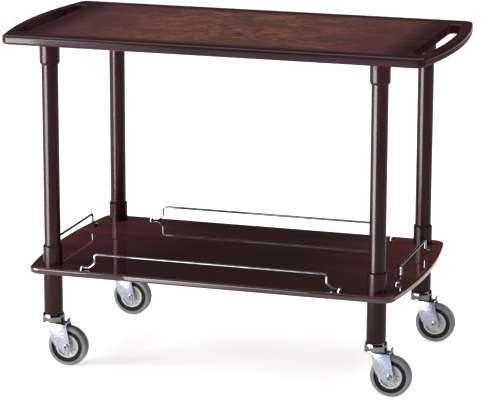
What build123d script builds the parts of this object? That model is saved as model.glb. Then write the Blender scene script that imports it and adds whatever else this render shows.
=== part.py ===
"""Food service trolley: a lacquered wooden top and shelf on four turned legs and swivel casters.

Millimetres, +Z up. The origin is on the floor, under the middle of the trolley.
X runs along the trolley, from handle to handle, and Y across it, from front to back.
"""
import os
from math import sqrt

from build123d import *

os.makedirs("parts", exist_ok=True)

# ---------------------------------------------------------------- driving sizes
LEG_SPACING_X = 818.0        # between the leg axes, along the trolley
LEG_SPACING_Y = 470.0        # between the leg axes, across it
LEG_DIA = 40.0               # upper leg
LEG_LENGTH = 546.0           # upper leg, from the shelf to the top
LOWER_LEG_LENGTH = 106.0
LOWER_LEG_STEP = 3.4         # how much thicker the lower leg is, on the radius
LEG_END_ROUND = 1.2

TOP_OVERHANG_X = 138.0       # from the leg axes to the crown of each bowed end
TOP_OVERHANG_Y = 43.0
TOP_THICKNESS = 23.0
TOP_END_RADIUS = 1270.0      # bow of each end
TOP_CORNER_RADIUS = 24.0
TOP_EDGE_ROUND = 7.0
SLOT_WIDTH = 43.0            # handle slots
SLOT_END_INSET = 72.0        # from the top's straight edge to the end of each slot
HANDLE_WIDTH = 28.0          # wood left outside the slot
SLOT_CORNER_RADIUS = 11.0
SLOT_EDGE_ROUND = 4.0
VENEER_BORDER = 26.0         # plain wood left round the burl veneer
VENEER_THICKNESS = 1.0
VENEER_FIT = 0.1             # gap between the veneer and the rim of its recess

SHELF_OVERHANG_X = 71.0
SHELF_OVERHANG_Y = 48.0
SHELF_THICKNESS = 16.0
SHELF_END_RADIUS = 1600.0
SHELF_CORNER_RADIUS = 30.0
SHELF_EDGE_ROUND = 5.0

UPPER_COLLAR_WALL = 4.4      # collar walls are taken from the leg's own surface
UPPER_COLLAR_HEIGHT = 48.0
UPPER_COLLAR_LIP = 8.0       # rounded lip at the collar's lower end
COLLAR_LAND = 0.8            # flat left at a collar's end, between its lip and its bore
LOWER_COLLAR_WALL = 3.6
LOWER_COLLAR_HEIGHT = 50.0
LOWER_COLLAR_LIP = 4.0       # chamfer at the collar's upper end
COLLAR_FIT = 0.2             # radial gap between collar and leg

ROD_DIA = 10.0               # tie rod up the middle of each leg
ROD_FIT = 0.25               # radial gap round the rod in wood
THREAD_FIT = 0.05            # radial gap that stands for a thread's flanks
INSERT_WALL = 3.0
INSERT_LENGTH = 15.0
LEG_INSERT_LENGTH = 30.0

WIRE_DIA = 6.0               # gallery rails
RAIL_HEIGHT = 41.0           # top of the wire above the shelf
RAIL_LIFT = 0.4              # clear space under the wire beside each foot
RAIL_INSET = 27.0            # from the shelf's straight edge to the long rails' axis
LONG_RAIL_GAP = 117.0        # along a long rail, from the leg's axis to the post
SHORT_RAIL_OFFSET = 32.0     # from the leg axes out to the axis of an end rail
SHORT_RAIL_GAP = 108.0
RAIL_POST_RADIUS = 7.0
RAIL_KNEE_RADIUS = 5.0
RAIL_KNEE_HEIGHT = 15.0      # where the post starts to slope outwards
RAIL_KNEE_REACH = 14.0       # how far the slope runs out
RAIL_FOOT_REACH = 32.0       # from the post to the screw
FOOT_MARGIN = 3.3            # flattened foot left round the screw's head
FOOT_THICKNESS = 3.6
SCREW_DIA = 4.0
SCREW_FIT = 0.25
SCREW_HEAD_DIA = 8.4
SCREW_HEAD_HEIGHT = 2.6
SCREW_HEAD_ROUND = 1.8
SCREW_HEAD_GAP = 1.1         # between the screw's head and the end of the round wire
SCREW_CROSS_LENGTH = 4.6
SCREW_CROSS_WIDTH = 1.0
SCREW_CROSS_DEPTH = 1.3
SCREW_GRIP = 11.0            # depth of the screw's hole in the wood
SCREW_END_GAP = 0.5

WHEEL_DIA = 100.0
TYRE_WIDTH = 27.0
TYRE_SHOULDER = 6.0
TYRE_DEPTH = 10.0            # rubber, from tread to band
BAND_DEPTH = 10.5            # black band between tyre and hub
BAND_STEP = 2.5              # how far the band's faces lie inside the tyre's
BONDED_GAP = 0.05            # radial gap between the bonded rings of a wheel
HUB_STEP = 1.5               # how far the hub's faces lie inside the tyre's
HUB_DISH = 4.5               # depth of the ring-shaped hollow in the hub's face
HUB_RIM = 4.5
HUB_SLOPE = 1.0              # draft of the moulded walls of the hollow
BOSS_DIA = 25.0
BOSS_RISE = 1.8              # how far the boss stands out beyond the tyre's faces
BOSS_GAP = 0.7               # between the boss and each arm of the fork
SLEEVE_DIA = 12.0
AXLE_DIA = 8.0
AXLE_HEAD_DIA = 14.0
AXLE_HEAD_HEIGHT = 3.6
AXLE_HEAD_ROUND = 1.2
AXLE_SOCKET = 6.0            # across the flats
AXLE_SOCKET_DEPTH = 3.0
SLEEVE_END_GAP = 0.05        # between the sleeve and each arm of the fork
NUT_ACROSS_FLATS = 13.0
NUT_HEIGHT = 6.0
RUNNING_FIT = 0.05

CASTER_TRAIL = 38.0          # from the swivel axis to the axle
FORK_PLATE = 2.5
FORK_CLEARANCE = 3.5         # from the top of the wheel to the fork's crown
FORK_CROWN_DIA = 36.0
FORK_FRONT_REACH = 6.0       # front edge of the arms, forward of the swivel axis
FORK_BELLY = 4.0             # how far the front edge has come back, half way down
FORK_EYE_RADIUS = 10.5       # round end of each arm, about the axle
FORK_TAB_WIDTH = 18.0
FORK_TAB_HEIGHT = 15.0
FORK_TAB_LEAN = 3.0
FORK_TAB_GAP = 7.0           # between the cap and the tab
RACE_DIA = 34.0
RACE_HEIGHT = 3.7
RACE_ROUND = 1.0
SWIVEL_GAP = 0.3             # between the turning and the fixed faces
STEM_DIA = 12.0
STEM_HEAD_DIA = 22.0
STEM_HEAD_HEIGHT = 3.7
STEM_BODY_DIA = 26.0
STEM_BODY_HEIGHT = 20.8
STEM_FLANGE_HEIGHT = 2.6
STEM_GRIP = 36.0             # length of stem inside the leg
CAP_FLARE = 5.1              # how far the cap's lip stands out beyond the lower leg
CAP_SHOULDER = 0.9           # how far the cap's flat top lies inside the lower leg
CAP_HEIGHT = 23.0
CAP_WALL = 1.2
CAP_SKIRT = 7.0              # straight part of the bell, above its lip

# ---------------------------------------------------------------- places
TOP_LENGTH = LEG_SPACING_X + 2 * TOP_OVERHANG_X
TOP_DEPTH = LEG_SPACING_Y + 2 * TOP_OVERHANG_Y
SHELF_LENGTH = LEG_SPACING_X + 2 * SHELF_OVERHANG_X
SHELF_DEPTH = LEG_SPACING_Y + 2 * SHELF_OVERHANG_Y
LOWER_LEG_DIA = LEG_DIA + 2 * LOWER_LEG_STEP
BOSS_WIDTH = TYRE_WIDTH + 2 * BOSS_RISE
FORK_GAP = BOSS_WIDTH + 2 * BOSS_GAP
CAP_DIA = LOWER_LEG_DIA + 2 * CAP_FLARE
FOOT_DIA = SCREW_HEAD_DIA + 2 * FOOT_MARGIN

WHEEL_RADIUS = WHEEL_DIA / 2
AXLE_Z = WHEEL_RADIUS
FORK_CROWN_Z = WHEEL_DIA + FORK_CLEARANCE
FORK_CROWN_TOP_Z = FORK_CROWN_Z + FORK_PLATE
RACE_TOP_Z = FORK_CROWN_TOP_Z + RACE_HEIGHT
FLANGE_Z = RACE_TOP_Z + SWIVEL_GAP
LEG_ENDS_Z = FLANGE_Z + STEM_BODY_HEIGHT + CAP_WALL
SHELF_UNDER_Z = LEG_ENDS_Z + LOWER_LEG_LENGTH
SHELF_TOP_Z = SHELF_UNDER_Z + SHELF_THICKNESS
TOP_UNDER_Z = SHELF_TOP_Z + LEG_LENGTH
TOP_Z = TOP_UNDER_Z + TOP_THICKNESS
FORK_ARM_Y = FORK_GAP / 2
FORK_OUTER_Y = FORK_ARM_Y + FORK_PLATE

CORNERS = {
    "front_left": (-LEG_SPACING_X / 2, -LEG_SPACING_Y / 2),
    "front_right": (LEG_SPACING_X / 2, -LEG_SPACING_Y / 2),
    "back_right": (LEG_SPACING_X / 2, LEG_SPACING_Y / 2),
    "back_left": (-LEG_SPACING_X / 2, LEG_SPACING_Y / 2),
}
LEG_POINTS = list(CORNERS.values())


def save(builder, name):
    """Label a finished piece and write it to its own file."""
    builder.part.label = name
    export_step(builder.part, f"parts/{name}.step")


def bow(length, radius, y):
    """X of a bowed end's edge, at a distance y from the middle of the end."""
    return length / 2 - (radius - sqrt(radius**2 - y**2))


def turned(profile, x, y):
    """A turned piece: its half-section, as (radius, z) points, spun about the upright at x, y."""
    with BuildPart() as piece:
        with BuildSketch(Plane((x, y, 0), x_dir=(1, 0, 0), z_dir=(0, -1, 0))):
            with BuildLine():
                Polyline(*profile, close=True)
            make_face()
        revolve(axis=Axis((x, y, 0), (0, 0, 1)))
    return piece


# ---------------------------------------------------------------- top
# One board with rounded edges and bowed ends. A long slot near each end leaves a strip
# of wood that is the push handle. The burl veneer lies flush in a shallow recess.
slot_outer_mid_x = TOP_LENGTH / 2 - HANDLE_WIDTH
slot_inner_x = slot_outer_mid_x - SLOT_WIDTH
veneer_length = 2 * (slot_inner_x - VENEER_BORDER)
veneer_depth = TOP_DEPTH - 2 * VENEER_BORDER
top_corner_x = bow(TOP_LENGTH, TOP_END_RADIUS, TOP_DEPTH / 2)
insert_outer_dia = ROD_DIA + 2 * INSERT_WALL

with BuildPart() as top_board:
    with BuildSketch(Plane.XY.offset(TOP_UNDER_Z)) as top_outline:
        with BuildLine():
            Line((-top_corner_x, -TOP_DEPTH / 2), (top_corner_x, -TOP_DEPTH / 2))
            ThreePointArc(
                (top_corner_x, -TOP_DEPTH / 2), (TOP_LENGTH / 2, 0), (top_corner_x, TOP_DEPTH / 2)
            )
            Line((top_corner_x, TOP_DEPTH / 2), (-top_corner_x, TOP_DEPTH / 2))
            ThreePointArc(
                (-top_corner_x, TOP_DEPTH / 2), (-TOP_LENGTH / 2, 0), (-top_corner_x, -TOP_DEPTH / 2)
            )
        make_face()
        fillet(top_outline.vertices(), TOP_CORNER_RADIUS)
    extrude(amount=TOP_THICKNESS)
    fillet(top_board.edges().group_by(Axis.Z)[-1], TOP_EDGE_ROUND)
    fillet(top_board.edges().group_by(Axis.Z)[0], TOP_EDGE_ROUND)
    slot_end_y = TOP_DEPTH / 2 - SLOT_END_INSET
    slot_outer_end_x = bow(TOP_LENGTH, TOP_END_RADIUS, slot_end_y) - HANDLE_WIDTH
    for side in (1, -1):
        with BuildSketch(Plane.XY.offset(TOP_UNDER_Z)) as slot_outline:
            with BuildLine():
                Polyline(
                    (side * slot_outer_end_x, slot_end_y),
                    (side * slot_inner_x, slot_end_y),
                    (side * slot_inner_x, -slot_end_y),
                    (side * slot_outer_end_x, -slot_end_y),
                )
                ThreePointArc(
                    (side * slot_outer_end_x, -slot_end_y),
                    (side * slot_outer_mid_x, 0),
                    (side * slot_outer_end_x, slot_end_y),
                )
            make_face()
            fillet(slot_outline.vertices(), SLOT_CORNER_RADIUS)
        extrude(amount=TOP_THICKNESS, mode=Mode.SUBTRACT)
        slot_rims = top_board.edges(Select.LAST).group_by(Axis.Z)
        fillet(slot_rims[-1] + slot_rims[0], SLOT_EDGE_ROUND)
    with BuildSketch(Plane.XY.offset(TOP_Z)):
        Rectangle(veneer_length, veneer_depth)
    extrude(amount=-VENEER_THICKNESS, mode=Mode.SUBTRACT)
    with BuildSketch(Plane.XY.offset(TOP_UNDER_Z)):
        with Locations(*LEG_POINTS):
            Circle(insert_outer_dia / 2 + THREAD_FIT)
    extrude(amount=INSERT_LENGTH, mode=Mode.SUBTRACT)
save(top_board, "top_board")

with BuildPart() as top_veneer:
    with BuildSketch(Plane.XY.offset(TOP_Z)):
        Rectangle(veneer_length - 2 * VENEER_FIT, veneer_depth - 2 * VENEER_FIT)
    extrude(amount=-VENEER_THICKNESS)
save(top_veneer, "top_veneer")

# ---------------------------------------------------------------- shelf
# A thinner board of the same family, drilled for the tie rods and the rail screws.
shelf_corner_x = bow(SHELF_LENGTH, SHELF_END_RADIUS, SHELF_DEPTH / 2)
long_rail_y = SHELF_DEPTH / 2 - RAIL_INSET
short_rail_x = LEG_SPACING_X / 2 + SHORT_RAIL_OFFSET
long_post = LEG_SPACING_X / 2 - LONG_RAIL_GAP
short_post = LEG_SPACING_Y / 2 - SHORT_RAIL_GAP
long_screw_x = long_post + RAIL_FOOT_REACH
short_screw_y = short_post + RAIL_FOOT_REACH
SCREW_POINTS = [
    *[(x, y) for x in (-long_screw_x, long_screw_x) for y in (-long_rail_y, long_rail_y)],
    *[(x, y) for x in (-short_rail_x, short_rail_x) for y in (-short_screw_y, short_screw_y)],
]

with BuildPart() as shelf_board:
    with BuildSketch(Plane.XY.offset(SHELF_UNDER_Z)) as shelf_outline:
        with BuildLine():
            Line((-shelf_corner_x, -SHELF_DEPTH / 2), (shelf_corner_x, -SHELF_DEPTH / 2))
            ThreePointArc(
                (shelf_corner_x, -SHELF_DEPTH / 2),
                (SHELF_LENGTH / 2, 0),
                (shelf_corner_x, SHELF_DEPTH / 2),
            )
            Line((shelf_corner_x, SHELF_DEPTH / 2), (-shelf_corner_x, SHELF_DEPTH / 2))
            ThreePointArc(
                (-shelf_corner_x, SHELF_DEPTH / 2),
                (-SHELF_LENGTH / 2, 0),
                (-shelf_corner_x, -SHELF_DEPTH / 2),
            )
        make_face()
        fillet(shelf_outline.vertices(), SHELF_CORNER_RADIUS)
    extrude(amount=SHELF_THICKNESS)
    fillet(shelf_board.edges().group_by(Axis.Z)[-1], SHELF_EDGE_ROUND)
    fillet(shelf_board.edges().group_by(Axis.Z)[0], SHELF_EDGE_ROUND)
    with BuildSketch(Plane.XY.offset(SHELF_UNDER_Z)):
        with Locations(*LEG_POINTS):
            Circle(ROD_DIA / 2 + ROD_FIT)
    extrude(amount=SHELF_THICKNESS, mode=Mode.SUBTRACT)
    with BuildSketch(Plane.XY.offset(SHELF_TOP_Z)):
        with Locations(*SCREW_POINTS):
            Circle(SCREW_DIA / 2 + SCREW_FIT)
    extrude(amount=-SCREW_GRIP, mode=Mode.SUBTRACT)
save(shelf_board, "shelf_board")

# ---------------------------------------------------------------- legs and collars
# Each leg is a turned post from the shelf to the top, drilled through for its tie rod.
# A thicker turned stub carries the caster below the shelf. Loose collars hide the joints.
rod_hole_radius = ROD_DIA / 2 + ROD_FIT
insert_hole_radius = insert_outer_dia / 2 + THREAD_FIT
socket_outer_dia = STEM_DIA + 2 * INSERT_WALL
socket_hole_radius = socket_outer_dia / 2 + THREAD_FIT
leg_insert_z = SHELF_UNDER_Z - LEG_INSERT_LENGTH
socket_top_z = LEG_ENDS_Z + STEM_GRIP
upper_collar_z = TOP_UNDER_Z - UPPER_COLLAR_HEIGHT
lower_collar_z = SHELF_TOP_Z + LOWER_COLLAR_HEIGHT
collar_bore = LEG_DIA / 2 + COLLAR_FIT
upper_collar_radius = LEG_DIA / 2 + UPPER_COLLAR_WALL
lower_collar_radius = LEG_DIA / 2 + LOWER_COLLAR_WALL

for corner, (leg_x, leg_y) in CORNERS.items():
    axis_line = Axis((leg_x, leg_y, 0), (0, 0, 1))
    half_section = Plane((leg_x, leg_y, 0), x_dir=(1, 0, 0), z_dir=(0, -1, 0))

    with BuildPart() as upper_leg:
        with BuildSketch(Plane.XY.offset(SHELF_TOP_Z)):
            with Locations((leg_x, leg_y)):
                Circle(LEG_DIA / 2)
                Circle(rod_hole_radius, mode=Mode.SUBTRACT)
        extrude(amount=LEG_LENGTH)
    save(upper_leg, f"upper_leg_{corner}")

    with BuildPart() as upper_collar:
        with BuildSketch(half_section):
            with BuildLine():
                lip_start = (upper_collar_radius, upper_collar_z + UPPER_COLLAR_LIP)
                lip_end = (collar_bore + COLLAR_LAND, upper_collar_z)
                Polyline(
                    lip_end,
                    (collar_bore, upper_collar_z),
                    (collar_bore, TOP_UNDER_Z),
                    (upper_collar_radius, TOP_UNDER_Z),
                    lip_start,
                )
                TangentArc(lip_start, lip_end, tangent=(0, -1))
            make_face()
        revolve(axis=axis_line)
    save(upper_collar, f"upper_collar_{corner}")

    lower_collar = turned(
        [
            (collar_bore, SHELF_TOP_Z),
            (lower_collar_radius, SHELF_TOP_Z),
            (lower_collar_radius, lower_collar_z - LOWER_COLLAR_LIP),
            (collar_bore + COLLAR_LAND, lower_collar_z),
            (collar_bore, lower_collar_z),
        ],
        leg_x,
        leg_y,
    )
    save(lower_collar, f"lower_collar_{corner}")

    with BuildPart() as lower_leg:
        with BuildSketch(Plane.XY.offset(LEG_ENDS_Z)):
            with Locations((leg_x, leg_y)):
                Circle(LOWER_LEG_DIA / 2)
        extrude(amount=LOWER_LEG_LENGTH)
        fillet(lower_leg.edges().group_by(Axis.Z)[0], LEG_END_ROUND)
        with BuildSketch(Plane.XY.offset(LEG_ENDS_Z)):
            with Locations((leg_x, leg_y)):
                Circle(socket_hole_radius)
        extrude(amount=STEM_GRIP, mode=Mode.SUBTRACT)
        with BuildSketch(Plane.XY.offset(SHELF_UNDER_Z)):
            with Locations((leg_x, leg_y)):
                Circle(insert_hole_radius)
        extrude(amount=-LEG_INSERT_LENGTH, mode=Mode.SUBTRACT)
    save(lower_leg, f"lower_leg_{corner}")

# ---------------------------------------------------------------- hidden fastenings
# A tie rod in each leg pulls the top, the shelf and the lower leg together.
with BuildPart() as tie_rods:
    with BuildSketch(Plane.XY.offset(leg_insert_z)):
        with Locations(*LEG_POINTS):
            Circle(ROD_DIA / 2)
    extrude(amount=TOP_UNDER_Z + INSERT_LENGTH - leg_insert_z)
save(tie_rods, "tie_rods")

with BuildPart() as top_inserts:
    with BuildSketch(Plane.XY.offset(TOP_UNDER_Z)):
        with Locations(*LEG_POINTS):
            Circle(insert_outer_dia / 2)
            Circle(ROD_DIA / 2 + THREAD_FIT, mode=Mode.SUBTRACT)
    extrude(amount=INSERT_LENGTH)
save(top_inserts, "top_inserts")

with BuildPart() as leg_inserts:
    with BuildSketch(Plane.XY.offset(leg_insert_z)):
        with Locations(*LEG_POINTS):
            Circle(insert_outer_dia / 2)
            Circle(ROD_DIA / 2 + THREAD_FIT, mode=Mode.SUBTRACT)
    extrude(amount=LEG_INSERT_LENGTH)
    with BuildSketch(Plane.XY.offset(LEG_ENDS_Z)):
        with Locations(*LEG_POINTS):
            Circle(socket_outer_dia / 2)
            Circle(STEM_DIA / 2 + THREAD_FIT, mode=Mode.SUBTRACT)
    extrude(amount=STEM_GRIP)
save(leg_inserts, "leg_inserts")

# ---------------------------------------------------------------- gallery rails
# Each rail is one bent wire: a long top run, a post at each end, a knee that slopes
# outwards and a flattened foot with a screw hole.
wire_top = SHELF_TOP_Z + RAIL_HEIGHT - WIRE_DIA / 2
wire_low = SHELF_TOP_Z + RAIL_LIFT + WIRE_DIA / 2
knee_z = SHELF_TOP_Z + RAIL_KNEE_HEIGHT


def gallery_rail(run_plane, post, name):
    """A rail in an upright plane whose x runs along it, from post to post."""
    foot = post + RAIL_FOOT_REACH
    wire_end = foot - SCREW_HEAD_DIA / 2 - SCREW_HEAD_GAP
    with BuildPart() as rail:
        with BuildLine(run_plane) as route:
            FilletPolyline(
                (-wire_end, wire_low),
                (-post - RAIL_KNEE_REACH, wire_low),
                (-post, knee_z),
                (-post, wire_top),
                (post, wire_top),
                (post, knee_z),
                (post + RAIL_KNEE_REACH, wire_low),
                (wire_end, wire_low),
                radius=[
                    RAIL_KNEE_RADIUS,
                    RAIL_KNEE_RADIUS,
                    RAIL_POST_RADIUS,
                    RAIL_POST_RADIUS,
                    RAIL_KNEE_RADIUS,
                    RAIL_KNEE_RADIUS,
                ],
            )
        with BuildSketch(Plane(route.line @ 0, z_dir=route.line % 0)):
            Circle(WIRE_DIA / 2)
        sweep()
        foot_places = [run_plane.from_local_coords((end * foot, 0, 0)) for end in (-1, 1)]
        with BuildSketch(Plane.XY.offset(SHELF_TOP_Z)):
            with Locations(*[(place.X, place.Y) for place in foot_places]):
                Circle(FOOT_DIA / 2)
        extrude(amount=FOOT_THICKNESS)
        with BuildSketch(Plane.XY.offset(SHELF_TOP_Z)):
            with Locations(*[(place.X, place.Y) for place in foot_places]):
                Circle(SCREW_DIA / 2 + SCREW_FIT)
        extrude(amount=FOOT_THICKNESS, mode=Mode.SUBTRACT)
    save(rail, name)


for side_y, name in ((-long_rail_y, "rail_front"), (long_rail_y, "rail_back")):
    gallery_rail(Plane((0, side_y, 0), x_dir=(1, 0, 0), z_dir=(0, -1, 0)), long_post, name)
for end_x, name in ((-short_rail_x, "rail_left"), (short_rail_x, "rail_right")):
    gallery_rail(Plane((end_x, 0, 0), x_dir=(0, 1, 0), z_dir=(1, 0, 0)), short_post, name)

# Round-headed screws with a cross recess, one through each foot of the rails.
screw_seat_z = SHELF_TOP_Z + FOOT_THICKNESS
with BuildPart() as rail_screws:
    with BuildSketch(Plane.XY.offset(screw_seat_z)):
        with Locations(*SCREW_POINTS):
            Circle(SCREW_HEAD_DIA / 2)
    extrude(amount=SCREW_HEAD_HEIGHT)
    fillet(rail_screws.edges().group_by(Axis.Z)[-1], SCREW_HEAD_ROUND)
    with BuildSketch(Plane.XY.offset(screw_seat_z + SCREW_HEAD_HEIGHT)):
        with Locations(*SCREW_POINTS):
            Rectangle(SCREW_CROSS_LENGTH, SCREW_CROSS_WIDTH)
            Rectangle(SCREW_CROSS_WIDTH, SCREW_CROSS_LENGTH)
    extrude(amount=-SCREW_CROSS_DEPTH, mode=Mode.SUBTRACT)
    with BuildSketch(Plane.XY.offset(screw_seat_z)):
        with Locations(*SCREW_POINTS):
            Circle(SCREW_DIA / 2)
    extrude(amount=-(FOOT_THICKNESS + SCREW_GRIP - SCREW_END_GAP))
save(rail_screws, "rail_screws")

# ---------------------------------------------------------------- casters, fixed pieces
# The stem screws up into the leg. Its body clamps the bell-shaped cap against the leg,
# and its kingpin carries the fork's crown between a flange and a riveted head.
cap_lip_z = LEG_ENDS_Z - CAP_HEIGHT
stem_body_top_z = LEG_ENDS_Z - CAP_WALL
head_top_z = FORK_CROWN_Z - SWIVEL_GAP
stem_thread_top = LEG_ENDS_Z + STEM_GRIP

with BuildPart() as caster_stems:
    for radius, low_z, high_z in (
        (STEM_HEAD_DIA / 2, head_top_z - STEM_HEAD_HEIGHT, head_top_z),
        (STEM_DIA / 2, head_top_z, stem_thread_top),
        (RACE_DIA / 2, FLANGE_Z, FLANGE_Z + STEM_FLANGE_HEIGHT),
        (STEM_BODY_DIA / 2, FLANGE_Z, stem_body_top_z),
    ):
        with BuildSketch(Plane.XY.offset(low_z)):
            with Locations(*LEG_POINTS):
                Circle(radius)
        extrude(amount=high_z - low_z)
save(caster_stems, "caster_stems")

# The cap's section is a line through the middle of its sheet, thickened to the wall.
cap_skirt_radius = (CAP_DIA - CAP_WALL) / 2
cap_top_mid_z = LEG_ENDS_Z - CAP_WALL / 2
cap_shoulder = (LOWER_LEG_DIA / 2 - CAP_SHOULDER, cap_top_mid_z)
cap_skirt_top = (cap_skirt_radius, cap_lip_z + CAP_SKIRT)
for corner, (leg_x, leg_y) in CORNERS.items():
    with BuildPart() as caster_cap:
        with BuildSketch(Plane((leg_x, leg_y, 0), x_dir=(1, 0, 0), z_dir=(0, -1, 0))):
            with BuildLine():
                Line((STEM_DIA / 2 + CAP_WALL, cap_top_mid_z), cap_shoulder)
                Bezier(cap_shoulder, (cap_skirt_radius, cap_top_mid_z), cap_skirt_top)
                Line(cap_skirt_top, (cap_skirt_radius, cap_lip_z))
            trace(line_width=CAP_WALL)
        revolve(axis=Axis((leg_x, leg_y, 0), (0, 0, 1)))
    save(caster_cap, f"caster_cap_{corner}")

# ---------------------------------------------------------------- casters, turning pieces
# At rest every caster trails towards +X, with its axle along Y.
fork_front_x = -FORK_FRONT_REACH
fork_rear_x = CAP_DIA / 2 + FORK_TAB_GAP + FORK_PLATE
tab_top_z = FORK_CROWN_Z + FORK_TAB_HEIGHT
bolt_end_y = FORK_OUTER_Y + NUT_HEIGHT
hub_radius = WHEEL_RADIUS - TYRE_DEPTH - BAND_DEPTH
band_radius = WHEEL_RADIUS - TYRE_DEPTH


def axle_plane(x, y):
    """A plane at the axles' height whose normal points to the front of the trolley."""
    return Plane((x, y, AXLE_Z), x_dir=(1, 0, 0), z_dir=(0, -1, 0))


for corner, (leg_x, leg_y) in CORNERS.items():
    axle_x = leg_x + CASTER_TRAIL

    with BuildPart() as swivel_race:
        with BuildSketch(Plane.XY.offset(FORK_CROWN_TOP_Z)):
            with Locations((leg_x, leg_y)):
                Circle(RACE_DIA / 2)
                Circle(STEM_DIA / 2 + RUNNING_FIT, mode=Mode.SUBTRACT)
        extrude(amount=RACE_HEIGHT)
        fillet(swivel_race.edges().group_by(Axis.Z)[-1].sort_by(SortBy.LENGTH)[-1], RACE_ROUND)
    save(swivel_race, f"swivel_race_{corner}")

    with BuildPart() as caster_fork:
        with BuildSketch(Plane.XY.offset(FORK_CROWN_Z)):
            with Locations((leg_x, leg_y)):
                Circle(FORK_CROWN_DIA / 2)
            with Locations((leg_x + (fork_front_x + fork_rear_x) / 2, leg_y)):
                Rectangle(fork_rear_x - fork_front_x, 2 * FORK_OUTER_Y)
        extrude(amount=FORK_PLATE)
        for arm_y in (leg_y - FORK_ARM_Y, leg_y + FORK_OUTER_Y):
            with BuildSketch(Plane((leg_x, arm_y, 0), x_dir=(1, 0, 0), z_dir=(0, -1, 0))):
                with BuildLine():
                    crown_front = (fork_front_x, FORK_CROWN_TOP_Z)
                    crown_rear = (fork_rear_x, FORK_CROWN_TOP_Z)
                    belly = (fork_front_x + FORK_BELLY, (FORK_CROWN_TOP_Z + AXLE_Z) / 2)
                    eye_low = (CASTER_TRAIL, AXLE_Z - FORK_EYE_RADIUS)
                    eye_rear = (CASTER_TRAIL + FORK_EYE_RADIUS, AXLE_Z)
                    Line(crown_rear, crown_front)
                    Spline(crown_front, belly, eye_low, tangents=((0, -1), (1, 0)))
                    TangentArc(eye_low, eye_rear, tangent=(1, 0))
                    Line(eye_rear, crown_rear)
                make_face()
                with Locations((CASTER_TRAIL, AXLE_Z)):
                    Circle(AXLE_DIA / 2 + RUNNING_FIT, mode=Mode.SUBTRACT)
            extrude(amount=FORK_PLATE)
        tab_plane = Plane((leg_x, leg_y + FORK_TAB_WIDTH / 2, 0), x_dir=(1, 0, 0), z_dir=(0, -1, 0))
        with BuildSketch(tab_plane):
            with BuildLine():
                Polyline(
                    (fork_rear_x - FORK_PLATE, FORK_CROWN_Z),
                    (fork_rear_x, FORK_CROWN_Z),
                    (fork_rear_x + FORK_TAB_LEAN, tab_top_z),
                    (fork_rear_x + FORK_TAB_LEAN - FORK_PLATE, tab_top_z),
                    close=True,
                )
            make_face()
        extrude(amount=FORK_TAB_WIDTH)
        with BuildSketch(Plane.XY.offset(FORK_CROWN_Z)):
            with Locations((leg_x, leg_y)):
                Circle(STEM_DIA / 2 + RUNNING_FIT)
        extrude(amount=FORK_PLATE, mode=Mode.SUBTRACT)
    save(caster_fork, f"caster_fork_{corner}")

    # Axle: a socket-headed bolt, the sleeve it clamps between the arms, and a hexagonal nut.
    with BuildPart() as axle:
        with BuildSketch(axle_plane(axle_x, leg_y + bolt_end_y)):
            Circle(AXLE_DIA / 2)
        extrude(amount=bolt_end_y + FORK_OUTER_Y)
        with BuildSketch(axle_plane(axle_x, leg_y - FORK_OUTER_Y)):
            Circle(AXLE_HEAD_DIA / 2)
        extrude(amount=AXLE_HEAD_HEIGHT)
        fillet(axle.edges().group_by(Axis.Y)[0], AXLE_HEAD_ROUND)
        with BuildSketch(axle_plane(axle_x, leg_y - FORK_OUTER_Y - AXLE_HEAD_HEIGHT)):
            RegularPolygon(AXLE_SOCKET / 2, 6, major_radius=False)
        extrude(amount=-AXLE_SOCKET_DEPTH, mode=Mode.SUBTRACT)
        with BuildSketch(axle_plane(axle_x, leg_y + FORK_ARM_Y - SLEEVE_END_GAP)):
            Circle(SLEEVE_DIA / 2)
            Circle(AXLE_DIA / 2 + THREAD_FIT, mode=Mode.SUBTRACT)
        extrude(amount=FORK_GAP - 2 * SLEEVE_END_GAP)
        with BuildSketch(axle_plane(axle_x, leg_y + bolt_end_y)):
            RegularPolygon(NUT_ACROSS_FLATS / 2, 6, major_radius=False)
            Circle(AXLE_DIA / 2 + THREAD_FIT, mode=Mode.SUBTRACT)
        extrude(amount=NUT_HEIGHT - THREAD_FIT)
    save(axle, f"caster_axle_{corner}")

    # Wheel: a moulded hub on the sleeve, a black band bonded round it, and the tyre.
    axle_line = Axis((axle_x, leg_y, AXLE_Z), (0, 1, 0))
    # The half-sections lie in a plane through the axle, with x along it and y outwards.
    wheel_section = Plane((axle_x, leg_y, AXLE_Z), x_dir=(0, 1, 0), z_dir=(1, 0, 0))

    with BuildPart() as wheel_hub:
        with BuildSketch(wheel_section):
            with BuildLine():
                bore = SLEEVE_DIA / 2 + RUNNING_FIT
                boss = BOSS_DIA / 2
                rim = hub_radius - HUB_RIM
                face = TYRE_WIDTH / 2 - HUB_STEP
                floor = face - HUB_DISH
                half = [
                    (BOSS_WIDTH / 2, bore),
                    (BOSS_WIDTH / 2, boss - HUB_SLOPE),
                    (floor, boss),
                    (floor, rim - HUB_SLOPE),
                    (face, rim),
                    (face, hub_radius),
                ]
                Polyline(*half, *[(-x, y) for x, y in reversed(half)], close=True)
            make_face()
        revolve(axis=axle_line)
    save(wheel_hub, f"wheel_hub_{corner}")

    with BuildPart() as wheel_band:
        with BuildSketch(wheel_section):
            with BuildLine():
                inner = hub_radius + BONDED_GAP
                half_width = TYRE_WIDTH / 2 - BAND_STEP
                Polyline(
                    (-half_width, inner),
                    (half_width, inner),
                    (half_width, band_radius),
                    (-half_width, band_radius),
                    close=True,
                )
            make_face()
        revolve(axis=axle_line)
    save(wheel_band, f"wheel_band_{corner}")

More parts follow.
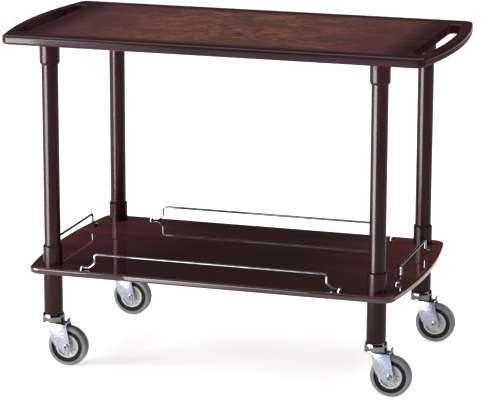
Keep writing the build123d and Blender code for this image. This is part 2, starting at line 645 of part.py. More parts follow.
    with BuildPart() as tyre:
        with BuildSketch(wheel_section):
            with BuildLine():
                inner = band_radius + BONDED_GAP
                half_width = TYRE_WIDTH / 2
                shoulder = WHEEL_RADIUS - TYRE_SHOULDER
                Polyline(
                    (-half_width, shoulder),
                    (-half_width, inner),
                    (half_width, inner),
                    (half_width, shoulder),
                )
                crown_edge = half_width - TYRE_SHOULDER
                TangentArc((half_width, shoulder), (crown_edge, WHEEL_RADIUS), tangent=(0, 1))
                Line((crown_edge, WHEEL_RADIUS), (-crown_edge, WHEEL_RADIUS))
                TangentArc((-half_width, shoulder), (-crown_edge, WHEEL_RADIUS), tangent=(0, 1))
            make_face()
        revolve(axis=axle_line)
    save(tyre, f"tyre_{corner}")
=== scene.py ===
"""Food service trolley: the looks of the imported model, built up in the order it is put together."""

from math import cos, pi, radians, sin

import bpy
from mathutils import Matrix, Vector


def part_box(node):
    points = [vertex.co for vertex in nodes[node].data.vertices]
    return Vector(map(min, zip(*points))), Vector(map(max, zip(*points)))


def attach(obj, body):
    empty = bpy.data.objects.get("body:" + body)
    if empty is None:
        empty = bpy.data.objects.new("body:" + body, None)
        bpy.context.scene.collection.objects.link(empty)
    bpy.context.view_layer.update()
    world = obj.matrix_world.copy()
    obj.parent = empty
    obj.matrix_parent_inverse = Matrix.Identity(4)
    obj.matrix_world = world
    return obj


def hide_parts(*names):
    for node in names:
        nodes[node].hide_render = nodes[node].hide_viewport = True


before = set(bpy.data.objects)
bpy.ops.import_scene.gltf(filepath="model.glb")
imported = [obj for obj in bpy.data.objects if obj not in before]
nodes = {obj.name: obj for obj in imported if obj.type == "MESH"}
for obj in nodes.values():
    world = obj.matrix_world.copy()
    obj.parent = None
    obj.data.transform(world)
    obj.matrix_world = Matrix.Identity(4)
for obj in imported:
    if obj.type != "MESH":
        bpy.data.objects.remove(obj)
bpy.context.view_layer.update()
bpy.ops.object.select_all(action="DESELECT")

CORNERS = ("front_left", "front_right", "back_right", "back_left")


# ---------------------------------------------------------------- lacquered top board
# One solid board, stained dark mahogany and lacquered, with a slot near each bowed end.
# Its edges are rounded over and it is sprayed on both faces before the veneer goes in.
class Wire:
    """An output socket in a material; sums and products of wires add the nodes that make them."""

    def __init__(self, tree, socket=None):
        self.tree, self.socket = tree, socket

    def node(self, kind, settings=None, inputs=None, output=0):
        """Adds any node: its settings first, then the values or wires of its input sockets."""
        made = self.tree.nodes.new(kind)
        for name, value in (settings or {}).items():
            if name == "stops":
                ramp = made.color_ramp
                while len(ramp.elements) < len(value):
                    ramp.elements.new(0.5)
                for element, (place, colour) in zip(ramp.elements, value):
                    element.position = place
                    element.color = (*colour, 1.0)
            else:
                setattr(made, name, value)
        for name, value in (inputs or {}).items():
            if isinstance(value, Wire):
                self.tree.links.new(value.socket, made.inputs[name])
            else:
                made.inputs[name].default_value = value
        return Wire(self.tree, made.outputs[output])

    def math(self, operation, *values):
        return self.node("ShaderNodeMath", {"operation": operation}, dict(enumerate(values)))

    def __add__(self, other):
        return self.math("ADD", self, other)

    def __rsub__(self, other):
        return self.math("SUBTRACT", other, self)

    def __mul__(self, other):
        return self.math("MULTIPLY", self, other)

    def __abs__(self):
        return self.math("ABSOLUTE", self)

    def larger(self, other):
        return self.math("MAXIMUM", self, other)

    def smooth(self, low, high):
        """0 below low and 1 above high, with a soft step between."""
        return self.node(
            "ShaderNodeMapRange", {"interpolation_type": "SMOOTHSTEP"}, {0: self, 1: low, 2: high}
        )

    def ramp(self, *stops):
        """Colour between stops, each given as (place, colour)."""
        return self.node("ShaderNodeValToRGB", {"stops": stops}, {0: self})

    def blend(self, first, second):
        """Colour that goes from first to second as this value goes from 0 to 1."""
        colours = {
            index: value if isinstance(value, Wire) else (*value, 1.0)
            for index, value in ((6, first), (7, second))
        }
        return self.node("ShaderNodeMix", {"data_type": "RGBA"}, {0: self, **colours}, 2)

    def moved(self, scale=(1, 1, 1), by=(0, 0, 0)):
        """These coordinates scaled, so that a pattern is stretched, and moved."""
        return self.node(
            "ShaderNodeMapping", None, {"Vector": self, "Scale": scale, "Location": by}
        )

    def shifted(self, wobble, amount):
        """These coordinates pushed about by a colour or vector, to make a pattern swirl."""
        push = self.node(
            "ShaderNodeVectorMath", {"operation": "MULTIPLY_ADD"},
            {0: wobble, 1: (amount,) * 3, 2: (-amount / 2,) * 3},
        )
        return self.node("ShaderNodeVectorMath", {"operation": "ADD"}, {0: self, 1: push})

    def noise(self, scale, detail=4.0, roughness=0.55, distortion=0.0, output=0):
        return self.node(
            "ShaderNodeTexNoise", None,
            {"Vector": self, "Scale": scale, "Detail": detail, "Roughness": roughness,
             "Distortion": distortion},
            output,
        )

    def axis(self, letter):
        return self.node("ShaderNodeSeparateXYZ", None, {0: self}, "XYZ".index(letter))


def finish_named(name, **constants):
    """A new material, its Principled shader with constant sockets set, and its coordinates."""
    material = bpy.data.materials.new(name)
    material.use_nodes = True
    shader = material.node_tree.nodes["Principled BSDF"]
    for socket, value in constants.items():
        shader.inputs[socket.replace("_", " ")].default_value = value
    place = Wire(material.node_tree).node("ShaderNodeTexCoord", output=3)
    return material, shader, place


def feed(shader, **wires):
    """Joins wires to the shader's sockets, named with underscores for spaces."""
    for socket, wire in wires.items():
        wire.tree.links.new(wire.socket, shader.inputs[socket.replace("_", " ")])


def bumped(height, strength, distance):
    """A normal from a height, for the small relief of a finish."""
    return height.node(
        "ShaderNodeBump", None, {"Height": height, "Strength": strength, "Distance": distance}
    )


def lacquered_wood(name, dark, mid, red, along, coat_roughness, coat_ior=1.27, coat=1.0):
    """Stained, lacquered mahogany: fibres and pores that run along one axis, under a clear coat."""
    material, shader, place = finish_named(
        name, Coat_Weight=coat, Coat_Roughness=coat_roughness, Coat_IOR=coat_ior,
        IOR=1.45, Specular_IOR_Level=0.0,
    )
    stretch = [26.0, 26.0, 26.0]
    stretch["XYZ".index(along)] = 1.3
    fine = [420.0, 420.0, 420.0]
    fine["XYZ".index(along)] = 9.0
    wander = place.noise(2.2, 2.0, output=1)
    bands = place.shifted(wander, 0.05).moved(stretch).noise(1.0, 6.0, 0.6, 0.4)
    pores = place.moved(fine).noise(1.0, 3.0, 0.5)
    cloud = place.noise(5.0, 3.0)
    stain = bands.ramp((0.28, dark), (0.52, mid), (0.78, red))
    stain = (cloud.smooth(0.35, 0.75) * 0.45).blend(stain, dark)
    stain = (pores.smooth(0.56, 0.72) * 0.6).blend(stain, [value * 0.35 for value in dark])
    feed(
        shader,
        Base_Color=stain,
        Roughness=bands * 0.16 + 0.30,
        Normal=bumped(pores + place.noise(38.0, 2.0) * 0.6, 0.05, 0.0004),
    )
    return material


board_lacquer = lacquered_wood(
    "board_lacquer", (0.018, 0.0058, 0.0080), (0.040, 0.0128, 0.0165), (0.072, 0.0215, 0.0235),
    along="X", coat_roughness=0.12,
)
board_shader = board_lacquer.node_tree.nodes["Principled BSDF"]
board_place = Wire(board_lacquer.node_tree).node("ShaderNodeTexCoord", output=3)
board_x, board_y, board_z = (board_place.axis(letter) for letter in "XYZ")
# The slots' walls and the end edges are sealed, not built up to a gloss. Each pair of places,
# in metres from the board's middle or above the floor, is where one finish fades to the other.
SLOT_INNER, SLOT_OUTER, SLOT_SIDE = (0.455, 0.470), (0.512, 0.528), (0.208, 0.216)
END_EDGE, EDGE_TOP, SLOT_TOP = (0.490, 0.520), (0.812, 0.8205), (0.8205, 0.8225)
in_slot = (
    abs(board_x).smooth(*SLOT_INNER)
    * (1 - abs(board_x).smooth(*SLOT_OUTER))
    * (1 - abs(board_y).smooth(*SLOT_SIDE))
    * (1 - board_z.smooth(*SLOT_TOP))
)
on_end = abs(board_x).smooth(*END_EDGE) * (1 - board_z.smooth(*EDGE_TOP))
feed(board_shader, Coat_Weight=(1 - in_slot) * (1 - on_end * 0.85))


def repaint(node, material):
    """A CAD piece whose shape is right keeps its mesh and takes the material."""
    mesh = nodes[node].data
    mesh.materials.clear()
    mesh.materials.append(material)


repaint("top_board", board_lacquer)

# ---------------------------------------------------------------- burl veneer
# A thin sheet of burl laid flush into the top: mottled figure with small dark eyes and
# orange patches in the middle, toned down to the dark stain of the board at its borders.
burl, burl_shader, burl_place = finish_named(
    "burl_veneer", Coat_Weight=1.0, Coat_Roughness=0.12, Coat_IOR=1.27,
    IOR=1.45, Specular_IOR_Level=0.0,
)
swirl = burl_place.noise(4.5, 4.0, 0.6, output=1)
swirled = burl_place.shifted(swirl, 0.20)
figure = swirled.moved((1.0, 1.7, 1.0)).noise(17.0, 9.0, 0.66, 1.6)
fibre = swirled.moved((5.0, 34.0, 1.0)).noise(9.0, 5.0, 0.6, 0.6)
clouds = burl_place.moved((1.0, 1.6, 1.0), (0.35, 0.1, 0.0)).noise(6.0, 5.0, 0.6, 0.9)
eyes = swirled.moved((1.0, 1.6, 1.0)).node(
    "ShaderNodeTexVoronoi", {"feature": "SMOOTH_F1"},
    {"Vector": swirled.moved((1.0, 1.6, 1.0)), "Scale": 46.0},
)
burl_colour = figure.ramp(
    (0.32, (0.075, 0.0250, 0.0210)),
    (0.46, (0.150, 0.0540, 0.0410)),
    (0.56, (0.210, 0.0820, 0.0580)),
    (0.72, (0.280, 0.1300, 0.0880)),
)
orange = clouds.smooth(0.48, 0.66) * figure.smooth(0.38, 0.62)
burl_colour = (orange * 0.6).blend(burl_colour, (0.360, 0.1200, 0.0600))
burl_colour = ((1 - eyes.smooth(0.05, 0.26)) * 0.6).blend(burl_colour, (0.034, 0.0130, 0.0120))
olive = (1 - clouds.smooth(0.36, 0.50)) * 0.7
burl_colour = olive.blend(burl_colour, (0.098, 0.0500, 0.0360))
burl_colour = (fibre.smooth(0.56, 0.80) * 0.4).blend(burl_colour, (0.080, 0.0280, 0.0240))
END_TONE, SIDE_TONE = (0.08, 0.42), (0.17, 0.25)  # metres from the middle, start and end
END_BORDER, SIDE_BORDER = (0.385, 0.452), (0.215, 0.254)
from_middle_x, from_middle_y = abs(burl_place.axis("X")), abs(burl_place.axis("Y"))
tone = (from_middle_x.smooth(*END_TONE) * 0.80).larger(from_middle_y.smooth(*SIDE_TONE) * 0.75)
burl_colour = tone.blend(burl_colour, (0.095, 0.0330, 0.0330))
border = from_middle_x.smooth(*END_BORDER).larger(from_middle_y.smooth(*SIDE_BORDER))
burl_colour = border.blend(burl_colour, (0.042, 0.0135, 0.0170))
feed(
    burl_shader,
    Base_Color=burl_colour,
    Roughness=figure * 0.2 + 0.25,
    Normal=bumped(figure + burl_place.noise(38.0, 2.0) * 0.5, 0.04, 0.0004),
)
repaint("top_veneer", burl)

# ---------------------------------------------------------------- legs and collars
# Turned posts from shelf to top with a loose collar at each end, and a thicker turned
# stub below the shelf that takes the caster. All are stained and lacquered with the boards.
LEG_RADIUS, LEG_HALF = 0.0200, 0.2730  # half: half of a piece's length
LEG_BORE = 0.00525
COLLAR_BORE, COLLAR_MOUTH = 0.0202, 0.0210  # the mouth is the thin end, where the leg goes in
UPPER_COLLAR_RADIUS, UPPER_COLLAR_HALF, MOUTH_ROUND = 0.0244, 0.0240, 0.0080
LOWER_COLLAR_RADIUS, LOWER_COLLAR_HALF, MOUTH_CHAMFER = 0.0236, 0.0250, 0.0040
STUB_RADIUS, STUB_HALF, STUB_BORE, STUB_ROUND = 0.0234, 0.0530, 0.00905, 0.0012

leg_lacquer = lacquered_wood(
    "leg_lacquer", (0.011, 0.0032, 0.0050), (0.028, 0.0080, 0.0110), (0.064, 0.0155, 0.0185),
    along="Z", coat_roughness=0.17, coat_ior=1.30, coat=0.5,
)


def only(piece):
    """Makes a piece the one that is selected and active."""
    bpy.ops.object.select_all(action="DESELECT")
    piece.select_set(True)
    bpy.context.view_layer.objects.active = piece


def turned(name, rings, segments=96):
    """A piece turned about the upright at the origin: one circle drawn out ring by ring, in
    (radius, height), and closed on itself."""
    bpy.ops.object.select_all(action="DESELECT")
    radius, height = rings[0]
    bpy.ops.mesh.primitive_circle_add(vertices=segments, radius=radius, location=(0.0, 0.0, height))
    piece = bpy.context.object
    piece.name = name
    bpy.ops.object.transform_apply()
    bpy.ops.object.mode_set(mode="EDIT")
    bpy.ops.mesh.select_mode(type="EDGE")
    bpy.ops.mesh.select_all(action="SELECT")
    for next_radius, next_height in (*rings[1:], rings[0]):
        bpy.ops.mesh.extrude_region_move(
            TRANSFORM_OT_translate={"value": (0.0, 0.0, next_height - height)}
        )
        growth = next_radius / radius
        bpy.ops.transform.resize(
            value=(growth, growth, 1.0), center_override=(0.0, 0.0, next_height)
        )
        radius, height = next_radius, next_height
    bpy.ops.mesh.select_all(action="SELECT")
    bpy.ops.mesh.remove_doubles(threshold=0.000005)
    bpy.ops.mesh.normals_make_consistent(inside=False)
    bpy.ops.object.mode_set(mode="OBJECT")
    return piece


def round_off(centre, radius, start, end, steps=6):
    """Rings of a rounded corner: (radius, height) points on an arc, from one angle to another."""
    turns = [radians(start + (end - start) * step / steps) for step in range(steps + 1)]
    return [(centre[0] + radius * cos(turn), centre[1] + radius * sin(turn)) for turn in turns]


def smoothed(piece, angle):
    """Shades a piece smooth where its faces meet at less than an angle, in degrees."""
    only(piece)
    bpy.ops.object.shade_smooth_by_angle(angle=radians(angle))


def copied(piece, name, shift):
    """A copy with its own mesh, moved, with its place applied."""
    only(piece)
    bpy.ops.object.duplicate()
    copy = bpy.context.object
    copy.name = name
    copy.location = shift
    bpy.ops.object.transform_apply()
    return copy


def fit_at_corners(piece, kind, body, material):
    """Copies of a piece modelled at the origin, in place of a CAD node at each of the corners."""
    piece.data.materials.append(material)
    for corner in CORNERS:
        low, high = (Vector(end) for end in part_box(f"{kind}_{corner}"))
        made = copied(piece, f"{kind}_made_{corner}", (low + high) / 2)
        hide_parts(f"{kind}_{corner}")
        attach(made, body.format(corner))
    bpy.data.objects.remove(piece)


leg_rings = [
    (LEG_BORE, -LEG_HALF), (LEG_RADIUS, -LEG_HALF), (LEG_RADIUS, LEG_HALF), (LEG_BORE, LEG_HALF)
]
upper_collar_rings = [
    (COLLAR_BORE, -UPPER_COLLAR_HALF),
    *[
        (
            COLLAR_MOUTH + (UPPER_COLLAR_RADIUS - COLLAR_MOUTH) * sin(turn),
            MOUTH_ROUND - UPPER_COLLAR_HALF - MOUTH_ROUND * cos(turn),
        )
        for turn in [pi * step / 20 for step in range(11)]
    ],
    (UPPER_COLLAR_RADIUS, UPPER_COLLAR_HALF),
    (COLLAR_BORE, UPPER_COLLAR_HALF),
]
lower_collar_rings = [
    (COLLAR_BORE, -LOWER_COLLAR_HALF),
    (LOWER_COLLAR_RADIUS, -LOWER_COLLAR_HALF),
    (LOWER_COLLAR_RADIUS, LOWER_COLLAR_HALF - MOUTH_CHAMFER),
    (COLLAR_MOUTH, LOWER_COLLAR_HALF),
    (COLLAR_BORE, LOWER_COLLAR_HALF),
]
lower_leg_rings = [
    (STUB_BORE, -STUB_HALF),
    *round_off((STUB_RADIUS - STUB_ROUND, STUB_ROUND - STUB_HALF), STUB_ROUND, -90, 0),
    (STUB_RADIUS, STUB_HALF),
    (STUB_BORE, STUB_HALF),
]
for kind, rings, angle in (
    ("upper_leg", leg_rings, 50),
    ("upper_collar", upper_collar_rings, 50),
    ("lower_collar", lower_collar_rings, 25),
    ("lower_leg", lower_leg_rings, 50),
):
    post = turned(kind, rings)
    smoothed(post, angle)
    fit_at_corners(post, kind, "trolley_frame", leg_lacquer)

# ---------------------------------------------------------------- shelf
# A thinner board with the same bowed ends, given more coats and polished like a mirror.
shelf_lacquer = lacquered_wood(
    "shelf_lacquer", (0.060, 0.0170, 0.0195), (0.118, 0.0310, 0.0330), (0.190, 0.0430, 0.0430),
    along="X", coat_roughness=0.03, coat_ior=1.5,
)
shelf_shader = shelf_lacquer.node_tree.nodes["Principled BSDF"]
shelf_place = Wire(shelf_lacquer.node_tree).node("ShaderNodeTexCoord", output=3)
shelf_stain = Wire(shelf_lacquer.node_tree, shelf_shader.inputs["Base Color"].links[0].from_socket)
# Painted reflection: the colour is darkened in the middle and left lighter and redder at the ends,
# most of all towards the back, for the lit room that the polished shelf reflects there.
painted_sheen_towards_back = shelf_place.axis("Y").smooth(-0.24, 0.12) * 0.7 + 0.3
painted_dark_middle = 1 - abs(shelf_place.axis("X")).smooth(0.12, 0.44) * painted_sheen_towards_back
feed(shelf_shader, Base_Color=(painted_dark_middle * 0.80).blend(shelf_stain, (0.022, 0.0075, 0.0085)))
repaint("shelf_board", shelf_lacquer)

# ---------------------------------------------------------------- gallery rails
# Bright chromed wire, bent and flattened at the ends, held by round-headed screws.
chrome, chrome_shader, chrome_place = finish_named("chrome", Metallic=1.0)
smear = chrome_place.noise(60.0, 4.0)
feed(
    chrome_shader,
    Base_Color=smear.ramp((0.3, (0.13, 0.13, 0.14)), (0.7, (0.21, 0.21, 0.22))),
    Roughness=smear.smooth(0.35, 0.8) * 0.12 + 0.07,
)
for side in ("front", "back", "left", "right"):
    repaint(f"rail_{side}", chrome)

zinc, zinc_shader, zinc_place = finish_named("zinc_plate", Metallic=1.0)
spangle = zinc_place.noise(140.0, 5.0, 0.65)
streak = zinc_place.moved((30.0, 30.0, 260.0)).noise(1.0, 4.0)
feed(
    zinc_shader,
    Base_Color=spangle.ramp((0.3, (0.36, 0.37, 0.43)), (0.7, (0.56, 0.57, 0.66))),
    Roughness=spangle * 0.25 + streak * 0.12 + 0.18,
    Normal=bumped(spangle + streak, 0.06, 0.0003),
)
repaint("rail_screws", zinc)

# ---------------------------------------------------------------- hidden fastenings
# Plain zinc-plated rods and machined brass inserts, out of sight inside the wood.
brass, brass_shader, brass_place = finish_named("turned_brass", Metallic=1.0)
turning = brass_place.moved((1.0, 1.0, 900.0)).noise(1.0, 2.0)
feed(
    brass_shader,
    Base_Color=turning.ramp((0.3, (0.50, 0.33, 0.12)), (0.7, (0.72, 0.52, 0.24))),
    Roughness=turning * 0.2 + 0.2,
)
for node, metal in (
    ("tie_rods", zinc), ("caster_stems", zinc), ("top_inserts", brass), ("leg_inserts", brass)
):
    repaint(node, metal)

# ---------------------------------------------------------------- caster caps
# Spun from thin sheet and chromed: a flat top clamped under the leg, a bell shoulder, a
# short skirt drawn in a little and a rolled bead at the lip.
cap_chrome, cap_shader, cap_place = finish_named("cap_chrome", Metallic=1.0)
wipe = cap_place.noise(70.0, 4.0)
spin_lines = cap_place.moved((1.0, 1.0, 700.0)).noise(1.0, 2.0)
feed(
    cap_shader,
    Base_Color=wipe.ramp((0.3, (0.10, 0.10, 0.105)), (0.7, (0.19, 0.19, 0.20))),
    Roughness=wipe.smooth(0.4, 0.8) * 0.10 + spin_lines * 0.05 + 0.04,
    Normal=bumped(spin_lines, 0.04, 0.0002),
)
CAP_BORE = 0.0072
CAP_TOP, CAP_FLOOR = 0.0115, 0.0104  # outside and inside of the flat that the stem goes through
SHEET_ACROSS, SHEET_UP = 0.0011, 0.0010  # thickness of the spun sheet
SHOULDER = ((0.0225, 0.0114), (0.0280, 0.0114), (0.0280, -0.0030))  # start, corner and end


def bent(start, corner, end, steps=10):
    """Rings of a soft bend between two points, drawn towards a corner."""
    return [
        tuple(
            first * (1 - t) ** 2 + 2 * middle * t * (1 - t) + last * t * t
            for first, middle, last in zip(start, corner, end)
        )
        for t in [step / steps for step in range(steps + 1)]
    ]


cap = turned(
    "caster_cap",
    [(CAP_BORE, CAP_TOP), (0.0205, CAP_TOP), (0.0218, 0.01148), *bent(*SHOULDER)]
    + [(0.0279, -0.0062), (0.0275, -0.0080)]
    + round_off((0.0274, -0.0103), 0.0011, 60, -180)
    + [(0.0264, -0.0080), (0.0267, -0.0060)]
    + [(radius - SHEET_ACROSS, height - SHEET_UP) for radius, height in reversed(bent(*SHOULDER))]
    + [(CAP_BORE, CAP_FLOOR)],
)
smoothed(cap, 50)
fit_at_corners(cap, "caster_cap", "trolley_frame", cap_chrome)

# ---------------------------------------------------------------- swivel races
# The turning race of the head: dark oiled steel with the grease of the balls round it.
race_steel, race_shader, race_place = finish_named("race_steel", Metallic=0.8)
oil = race_place.noise(90.0, 4.0)
feed(
    race_shader,
    Base_Color=oil.ramp((0.3, (0.03, 0.03, 0.03)), (0.7, (0.10, 0.10, 0.105))),
    Roughness=oil * 0.3 + 0.2,
)
for corner in CORNERS:
    repaint(f"swivel_race_{corner}", race_steel)

# ---------------------------------------------------------------- axles
# A black-oxide socket bolt, the steel sleeve it clamps and a nut, all a little polished by use.
bolt_steel, bolt_shader, bolt_place = finish_named("bolt_steel", Metallic=1.0)
rub = bolt_place.noise(160.0, 5.0)
feed(
    bolt_shader,
    Base_Color=rub.ramp((0.35, (0.10, 0.11, 0.12)), (0.7, (0.26, 0.27, 0.29))),
    Roughness=rub * 0.3 + 0.2,
    Normal=bumped(rub, 0.08, 0.0002),
)
for corner in CORNERS:
    repaint(f"caster_axle_{corner}", bolt_steel)

# ---------------------------------------------------------------- forks
# Pressed from one sheet of steel and zinc plated, so every edge is a little rounded and both
# bends over the wheel are soft. The tab behind each fork is coloured near black, matt and not
# metal: painted shade, for the shadow it sits in behind the fork.
SHADED_TAB_EDGE = (0.1066, 0.1072)  # above the floor
PRESSED_EDGE = 0.0007
fork_zinc, fork_shader, fork_place = finish_named("fork_zinc")
# Painted shade: above this height the tab behind the fork is made near black, matt and not metal.
painted_shade_tab = fork_place.axis("Z").smooth(*SHADED_TAB_EDGE)
bloom = fork_place.noise(170.0, 6.0, 0.7)
rolled = fork_place.moved((40.0, 40.0, 300.0)).noise(1.0, 4.0)
stained = fork_place.noise(38.0, 3.0)
plate = bloom.ramp((0.28, (0.23, 0.24, 0.29)), (0.72, (0.46, 0.47, 0.56)))
plate = (stained.smooth(0.45, 0.75) * 0.35).blend(plate, (0.28, 0.27, 0.33))
feed(
    fork_shader,
    Base_Color=painted_shade_tab.blend(plate, (0.020, 0.020, 0.022)),
    Metallic=1 - painted_shade_tab,
    Roughness=bloom * 0.16 + rolled * 0.08 + painted_shade_tab * 0.3 + 0.10,
    Normal=bumped(bloom + rolled, 0.08, 0.0003),
)
for corner in CORNERS:
    pressed_mesh = nodes[f"caster_fork_{corner}"].data.copy()
    pressed = bpy.data.objects.new(f"fork_made_{corner}", pressed_mesh)
    bpy.context.collection.objects.link(pressed)
    only(pressed)
    bpy.ops.object.mode_set(mode="EDIT")
    bpy.ops.mesh.select_all(action="SELECT")
    bpy.ops.mesh.remove_doubles(threshold=0.00001)
    bpy.ops.mesh.dissolve_limited(angle_limit=radians(1.0))
    bpy.ops.object.mode_set(mode="OBJECT")
    bpy.ops.object.modifier_add(type="BEVEL")
    rounding = pressed.modifiers[-1]
    rounding.width = PRESSED_EDGE
    rounding.segments = 3
    rounding.limit_method = "ANGLE"
    rounding.angle_limit = radians(40.0)
    bpy.ops.object.modifier_apply(modifier=rounding.name)
    pressed.data.materials.clear()
    pressed.data.materials.append(fork_zinc)
    smoothed(pressed, 35)
    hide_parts(f"caster_fork_{corner}")
    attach(pressed, f"caster_{corner}")

# ---------------------------------------------------------------- wheel hubs
# Moulded in pale plastic: a boss on the axle, a dished web with ribs and a rounded rim.
hub_plastic, hub_shader, hub_place = finish_named("hub_plastic", Specular_IOR_Level=0.2)
mould = hub_place.noise(120.0, 4.0)
feed(
    hub_shader,
    Base_Color=mould.ramp((0.3, (0.38, 0.38, 0.36)), (0.7, (0.50, 0.50, 0.48))),
    Roughness=mould * 0.2 + 0.3,
    Normal=bumped(mould, 0.05, 0.0003),
)


def on_both_faces(half):
    """A wheel's ring-shaped section from one half of it, which runs from the bore outwards."""
    return half + [(radius, -height) for radius, height in reversed(half)]


def laid_on_axle(piece):
    """Turns a wheel's piece from the upright onto the axle, along Y."""
    only(piece)
    piece.rotation_euler = (pi / 2, 0.0, 0.0)
    bpy.ops.object.transform_apply()


HUB_SEGMENTS = 96
HUB_RIBS = 12
HUB_WEB = 0.0075  # from the wheel's middle to the face of the web
WEB_INNER, WEB_OUTER = 0.0140, 0.0235
RIB_HEIGHT = 0.0022
hub = turned(
    "wheel_hub",
    on_both_faces(
        [(0.00605, 0.0149), (0.0065, 0.0153)]
        + round_off((0.0107, 0.0145), 0.0008, 90, 0, 4)
        + [(0.0120, 0.0085)]
        + round_off((0.0135, HUB_WEB + 0.0012), 0.0012, 190, 270, 4)
        + [(0.0178, HUB_WEB), (0.0230, HUB_WEB)]
        + round_off((0.0232, HUB_WEB + 0.0012), 0.0012, 270, 350, 4)
        + round_off((0.0256, 0.0112), 0.0008, 170, 90, 4)
        + round_off((0.0285, 0.0111), 0.0009, 90, 0, 4)
    ),
    HUB_SEGMENTS,
)
for side in (1, -1):
    bpy.ops.object.mode_set(mode="EDIT")
    bpy.ops.mesh.select_mode(type="FACE")
    bpy.ops.mesh.select_all(action="DESELECT")
    bpy.ops.object.mode_set(mode="OBJECT")
    for face in hub.data.polygons:
        across_face = Vector((face.center.x, face.center.y))
        turn = across_face.angle_signed(Vector((1.0, 0.0)), 0.0) / (2 * pi) * HUB_SEGMENTS
        flat = abs(face.center.z - side * HUB_WEB) < 0.0001
        on_web = flat and WEB_INNER < across_face.length < WEB_OUTER
        face.select = on_web and int(turn % (HUB_SEGMENTS / HUB_RIBS)) == 0
    bpy.ops.object.mode_set(mode="EDIT")
    bpy.ops.mesh.extrude_region_move(
        TRANSFORM_OT_translate={"value": (0.0, 0.0, side * RIB_HEIGHT)}
    )
    bpy.ops.object.mode_set(mode="OBJECT")
smoothed(hub, 40)
laid_on_axle(hub)
fit_at_corners(hub, "wheel_hub", "wheel_{}", hub_plastic)

# ---------------------------------------------------------------- wheel bands
# A black moulded ring between hub and tyre, a little thinner than either, with two lands.
band_plastic, band_shader, band_place = finish_named("band_plastic", Specular_IOR_Level=0.06)
satin = band_place.noise(200.0, 4.0)
feed(
    band_shader,
    Base_Color=satin.ramp((0.3, (0.004, 0.004, 0.005)), (0.7, (0.012, 0.012, 0.014))),
    Roughness=satin * 0.25 + 0.35,
    Normal=bumped(satin, 0.1, 0.0003),
)
BAND_LAND, BAND_WALL = 0.0110, 0.0102  # half thickness at the lands and between them
band = turned(
    "wheel_band",
    on_both_faces(
        [(0.02955, 0.0107), (0.0298, BAND_LAND), (0.0312, BAND_LAND), (0.0316, BAND_WALL)]
        + [(0.0378, BAND_WALL), (0.0382, BAND_LAND), (0.0397, BAND_LAND), (0.0400, 0.0107)]
    ),
)
smoothed(band, 30)
laid_on_axle(band)
fit_at_corners(band, "wheel_band", "wheel_{}", band_plastic)

# ---------------------------------------------------------------- tyres
# Grey non-marking rubber moulded onto the band: round shoulders, a line where the halves
# of the mould met round the tread, and a fine groove in each wall.
rubber, rubber_shader, rubber_place = finish_named("grey_rubber", Specular_IOR_Level=0.04)
dust = rubber_place.noise(26.0, 6.0, 0.65)
grit = rubber_place.noise(600.0, 2.0)
feed(
    rubber_shader,
    Base_Color=dust.ramp((0.3, (0.15, 0.15, 0.165)), (0.75, (0.26, 0.26, 0.28))),
    Roughness=dust * 0.2 + 0.6,
    Normal=bumped(grit, 0.25, 0.0003),
)
TYRE_WALL, WALL_GROOVE = 0.0135, 0.0131  # half width at the wall and in its groove
SHOULDER_ROUND = 0.0060
WHEEL_RADIUS = 0.0500
TYRE_SEGMENTS = 144
tyre = turned(
    "tyre",
    on_both_faces(
        [(0.04005, WALL_GROOVE), (0.0404, TYRE_WALL), (0.0414, TYRE_WALL)]
        + [(0.0416, WALL_GROOVE), (0.0420, WALL_GROOVE), (0.0422, TYRE_WALL)]
        + round_off(
            (WHEEL_RADIUS - SHOULDER_ROUND, TYRE_WALL - SHOULDER_ROUND), SHOULDER_ROUND, 90, 0, 10
        )
        + [(WHEEL_RADIUS, 0.0010), (WHEEL_RADIUS - 0.0002, 0.0007)]
    ),
    TYRE_SEGMENTS,
)
smoothed(tyre, 30)
laid_on_axle(tyre)
fit_at_corners(tyre, "tyre", "wheel_{}", rubber)

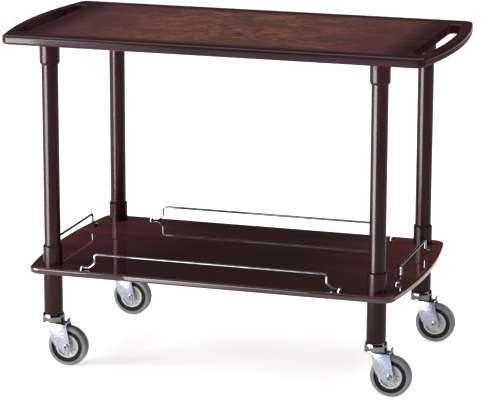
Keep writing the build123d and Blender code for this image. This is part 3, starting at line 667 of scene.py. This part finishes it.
# ---------------------------------------------------------------- studio
# A pale floor that glows a little, a dim room, four large soft lights and two strips close to
# the front legs, which only show as a line of light in what is glossy.
bpy.ops.mesh.primitive_plane_add(size=60.0)
floor = bpy.context.object
floor.name = "studio_floor"
floor_paint = finish_named(
    "studio_floor", Roughness=0.9, Base_Color=(0.80, 0.80, 0.80, 1.0),
    Emission_Color=(1.0, 1.0, 1.0, 1.0), Emission_Strength=0.66, Specular_IOR_Level=0.0,
)[0]
floor.data.materials.append(floor_paint)

world = bpy.data.worlds.new("studio_room")
bpy.context.scene.world = world
world.use_nodes = True
room = world.node_tree.nodes["Background"]
room.inputs["Color"].default_value = (0.5, 0.5, 0.52, 1.0)
room.inputs["Strength"].default_value = 0.05
bpy.context.scene.view_settings.view_transform = "Standard"


def soft_light(name, place, target, size, power, sheen_only=False, spread=180):
    """A rectangular soft light that faces a point; sheen_only keeps it to reflections, and a
    narrow spread to what is straight in front of it."""
    bpy.ops.object.light_add(type="AREA", location=place)
    light = bpy.context.object
    light.name = name
    light.data.shape = "RECTANGLE"
    light.data.size, light.data.size_y = size
    light.data.energy = power
    light.rotation_euler = (Vector(place) - Vector(target)).to_track_quat("Z", "Y").to_euler()
    light.visible_camera = False
    light.visible_diffuse = not sheen_only
    light.data.spread = radians(spread)


soft_light("key_light", (-3.9, -2.1, 1.4), (0.0, 0.0, 0.5), (2.1, 2.6), 190.0)
soft_light("edge_light", (-2.2, -4.4, 1.2), (-0.3, 0.0, 0.6), (0.7, 2.2), 85.0)
soft_light(
    "left_strip", (-0.955, -0.82, 0.39), (-0.409, -0.235, 0.39), (0.60, 0.64), 10.0,
    sheen_only=True, spread=70,
)
soft_light(
    "front_strip", (-0.137, -0.82, 0.36), (0.409, -0.235, 0.36), (0.54, 0.58), 8.0,
    sheen_only=True, spread=60,
)
soft_light("fill_light", (4.6, 0.2, 1.6), (0.0, 0.0, 0.5), (0.8, 2.6), 22.0)
soft_light("overhead_light", (0.0, 1.0, 5.0), (0.0, 0.0, 0.0), (9.0, 8.0), 400.0)

bpy.ops.object.camera_add(
    location=(1.778, -5.738, 1.856),
    rotation=(radians(76.135), radians(-0.192), radians(17.048)),
)
camera = bpy.context.object
camera.data.lens = 179.6
camera.data.sensor_width = 36.0
camera.data.clip_end = 100.0
bpy.context.scene.camera = camera
